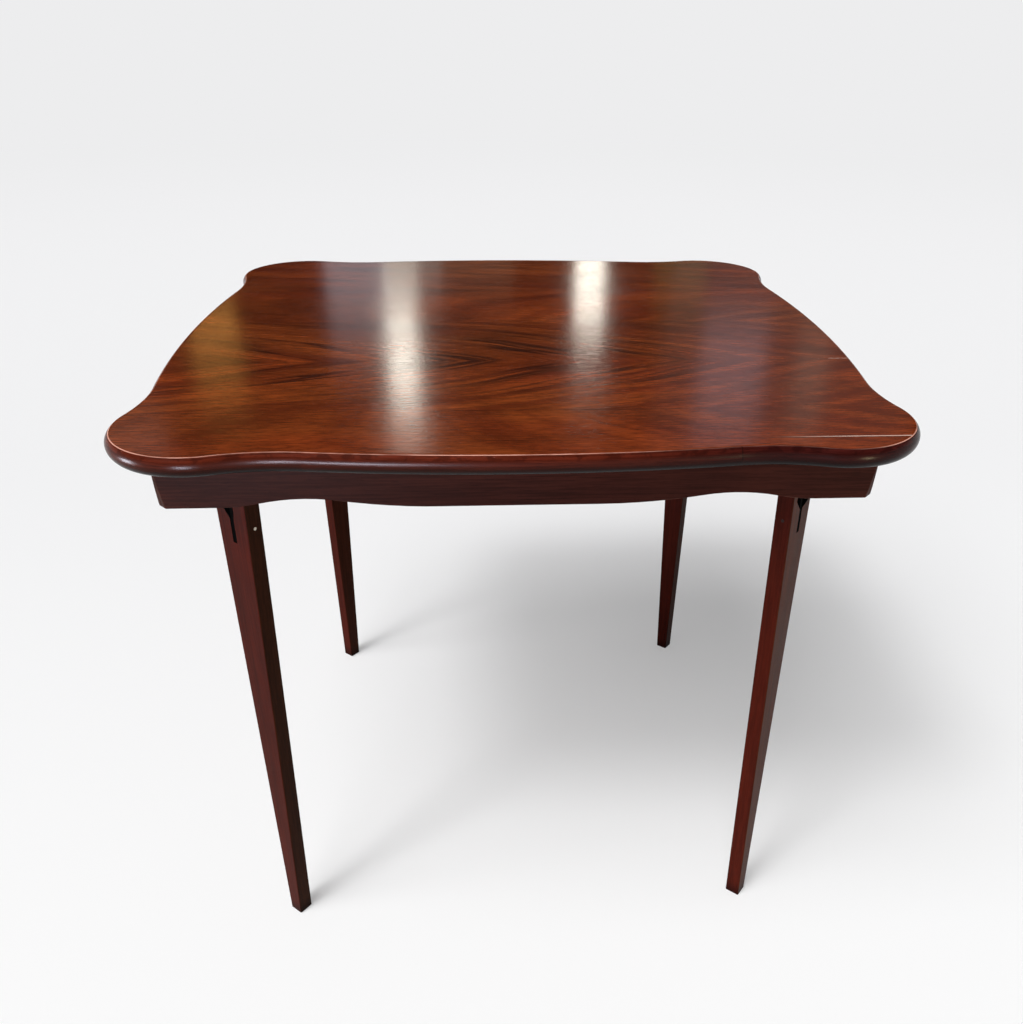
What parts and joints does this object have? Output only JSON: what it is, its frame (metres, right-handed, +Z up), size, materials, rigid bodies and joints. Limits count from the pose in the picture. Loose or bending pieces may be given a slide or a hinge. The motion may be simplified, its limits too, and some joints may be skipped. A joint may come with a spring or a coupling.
{
  "type": "folding card table",
  "caption": "Square wooden card table with a scalloped top, rounded nose moulding and shaped aprons, on tapered legs that each fold inwards under the top.",
  "frame": {"origin": "on the floor, under the middle of the top", "axes": "+Z up, -Y towards the front apron, +X to the right when seen from the front"},
  "size_m": [0.824, 0.824, 0.71],
  "materials": {
    "top_wood": "dark red-brown lacquer over a figured veneer, semi-gloss",
    "moulding_wood": "dark red-brown lacquer on solid wood, semi-gloss",
    "apron_wood": "dark red-brown lacquer, satin",
    "leg_wood": "dark red-brown lacquer, satin",
    "block_wood": "bare wood",
    "bracket_steel": "black enamel",
    "black_steel": "black oxide",
    "spring_steel": "blued spring steel",
    "pin_steel": "bright zinc",
    "screw_steel": "zinc, dull",
    "rivet_steel": "bright, filed flush"
  },
  "bodies": {
    "table_top": {"top_panel": "top_wood", "edge_moulding_front": "moulding_wood", "edge_moulding_right": "moulding_wood", "edge_moulding_rear": "moulding_wood", "edge_moulding_left": "moulding_wood", "corner_moulding_front_left": "moulding_wood", "corner_moulding_front_right": "moulding_wood", "corner_moulding_rear_right": "moulding_wood", "corner_moulding_rear_left": "moulding_wood", "apron_front": "apron_wood", "apron_right": "apron_wood", "apron_rear": "apron_wood", "apron_left": "apron_wood", "glue_blocks_front": "block_wood", "glue_blocks_right": "block_wood", "glue_blocks_rear": "block_wood", "glue_blocks_left": "block_wood", "corner_block_front_left": "block_wood", "corner_block_front_right": "block_wood", "corner_block_rear_right": "block_wood", "corner_block_rear_left": "block_wood", "hinge_bracket_front_left": "bracket_steel", "hinge_bracket_front_right": "bracket_steel", "hinge_bracket_rear_right": "bracket_steel", "hinge_bracket_rear_left": "bracket_steel", "pivot_pin_front_left": "pin_steel", "pivot_pin_front_right": "pin_steel", "pivot_pin_rear_right": "pin_steel", "pivot_pin_rear_left": "pin_steel", "hinge_washers": "pin_steel", "spring_catch_front_left": "spring_steel", "spring_catch_front_right": "spring_steel", "spring_catch_rear_right": "spring_steel", "spring_catch_rear_left": "spring_steel", "bracket_screws": "screw_steel", "block_screws": "screw_steel", "catch_screws": "screw_steel"},
    "leg_assembly_front_left": {"leg_front_left": "leg_wood", "stop_plate_front_left": "black_steel", "plate_rivet_front_left": "rivet_steel"},
    "leg_assembly_front_right": {"leg_front_right": "leg_wood", "stop_plate_front_right": "black_steel", "plate_rivet_front_right": "rivet_steel"},
    "leg_assembly_rear_right": {"leg_rear_right": "leg_wood", "stop_plate_rear_right": "black_steel", "plate_rivet_rear_right": "rivet_steel"},
    "leg_assembly_rear_left": {"leg_rear_left": "leg_wood", "stop_plate_rear_left": "black_steel", "plate_rivet_rear_left": "rivet_steel"}
  },
  "joints": [
    {"name": "fold_front_left", "type": "hinge", "parent": "table_top", "child": "leg_assembly_front_left", "pos_m": [-0.3, -0.3, 0.677], "axis": [0.766, -0.6428, 0], "range_deg": [0, 90]},
    {"name": "fold_front_right", "type": "hinge", "parent": "table_top", "child": "leg_assembly_front_right", "pos_m": [0.3, -0.3, 0.6565], "axis": [0.6428, 0.766, 0], "range_deg": [0, 90]},
    {"name": "fold_rear_right", "type": "hinge", "parent": "table_top", "child": "leg_assembly_rear_right", "pos_m": [0.3, 0.3, 0.677], "axis": [-0.766, 0.6428, 0], "range_deg": [0, 90]},
    {"name": "fold_rear_left", "type": "hinge", "parent": "table_top", "child": "leg_assembly_rear_left", "pos_m": [-0.3, 0.3, 0.6565], "axis": [-0.6428, -0.766, 0], "range_deg": [0, 90]}
  ]
}
